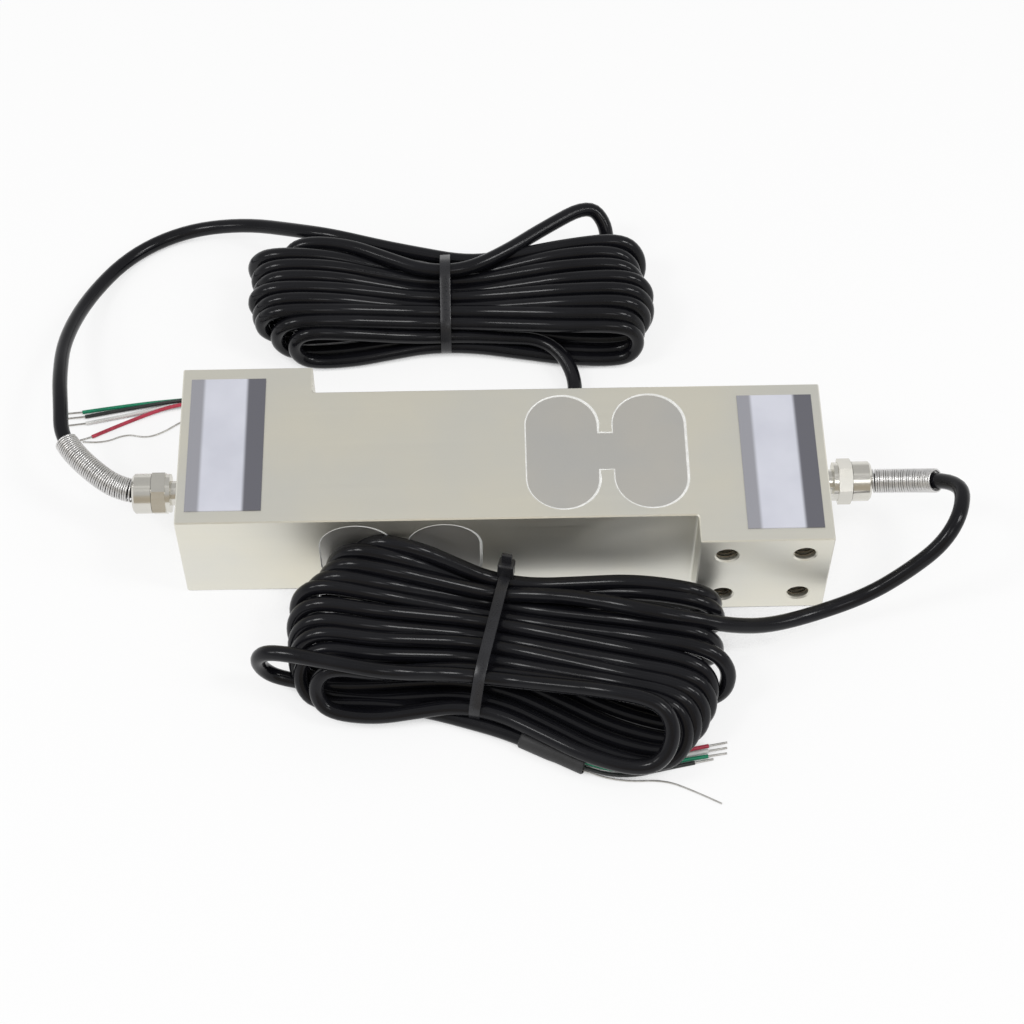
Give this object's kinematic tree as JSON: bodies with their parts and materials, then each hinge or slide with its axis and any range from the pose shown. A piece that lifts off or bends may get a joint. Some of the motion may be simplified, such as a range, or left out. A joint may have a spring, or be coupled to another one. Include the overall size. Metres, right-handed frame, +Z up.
{
  "type": "two-axis force sensor",
  "caption": "Offset-pad metal force-sensing block with crossed dumbbell openings under flush covers, cable glands with bend springs and tied cable hanks.",
  "frame": {"origin": "centre of the block's underside", "axes": "+X along the block towards the pad that stands out to the front, +Y to the back, +Z up"},
  "size_m": [0.2982, 0.2322, 0.0403],
  "materials": {
    "plated_block": "satin nickel plate on machined alloy steel",
    "plated_cover": "satin nickel plate on thin sheet",
    "gauge_foil": "amber foil gauge under a clear coat",
    "board": "green terminal board",
    "gland_metal": "bright nickel plate on brass",
    "seal_rubber": "black rubber",
    "spring_steel": "bright close-wound spring wire",
    "bare_label": "bare grey film label",
    "tie_nylon": "black nylon",
    "cable_jacket": "black PVC jacket, half gloss",
    "sleeve_plastic": "black heat-shrink",
    "tinned_copper": "tinned copper",
    "red_core": "red insulation",
    "green_core": "green insulation",
    "black_core": "black insulation",
    "white_core": "white insulation",
    "inner_core": "insulated cores inside the block"
  },
  "bodies": {
    "root": {"back_inner_gauge": "gauge_foil", "back_outer_gauge": "gauge_foil", "bottom_cover_plate": "plated_cover", "front_black_core": "black_core", "front_cable_lead": "cable_jacket", "front_cable_tail": "cable_jacket", "front_cable_tie": "tie_nylon", "front_core_tips": "tinned_copper", "front_cover_plate": "plated_cover", "front_drain_wire": "tinned_copper", "front_green_core": "green_core", "front_hank": "cable_jacket", "front_inner_gauge": "gauge_foil", "front_outer_gauge": "gauge_foil", "front_red_core": "red_core", "front_sleeve": "sleeve_plastic", "front_white_core": "white_core", "left_gland_body": "gland_metal", "left_gland_nut": "gland_metal", "left_gland_seal": "seal_rubber", "left_inner_cores": "inner_core", "left_plate": "bare_label", "left_spring": "spring_steel", "left_terminal_board": "board", "lower_inner_gauge": "gauge_foil", "lower_outer_gauge": "gauge_foil", "rear_black_core": "black_core", "rear_cable_lead": "cable_jacket", "rear_cable_tail": "cable_jacket", "rear_cable_tie": "tie_nylon", "rear_core_tips": "tinned_copper", "rear_cover_plate": "plated_cover", "rear_drain_wire": "tinned_copper", "rear_green_core": "green_core", "rear_hank": "cable_jacket", "rear_red_core": "red_core", "rear_sleeve": "sleeve_plastic", "rear_white_core": "white_core", "right_gland_body": "gland_metal", "right_gland_nut": "gland_metal", "right_gland_seal": "seal_rubber", "right_inner_cores": "inner_core", "right_plate": "bare_label", "right_spring": "spring_steel", "right_terminal_board": "board", "sensor_block": "plated_block", "top_cover_plate": "plated_cover", "upper_inner_gauge": "gauge_foil", "upper_outer_gauge": "gauge_foil"}
  },
  "joints": []
}
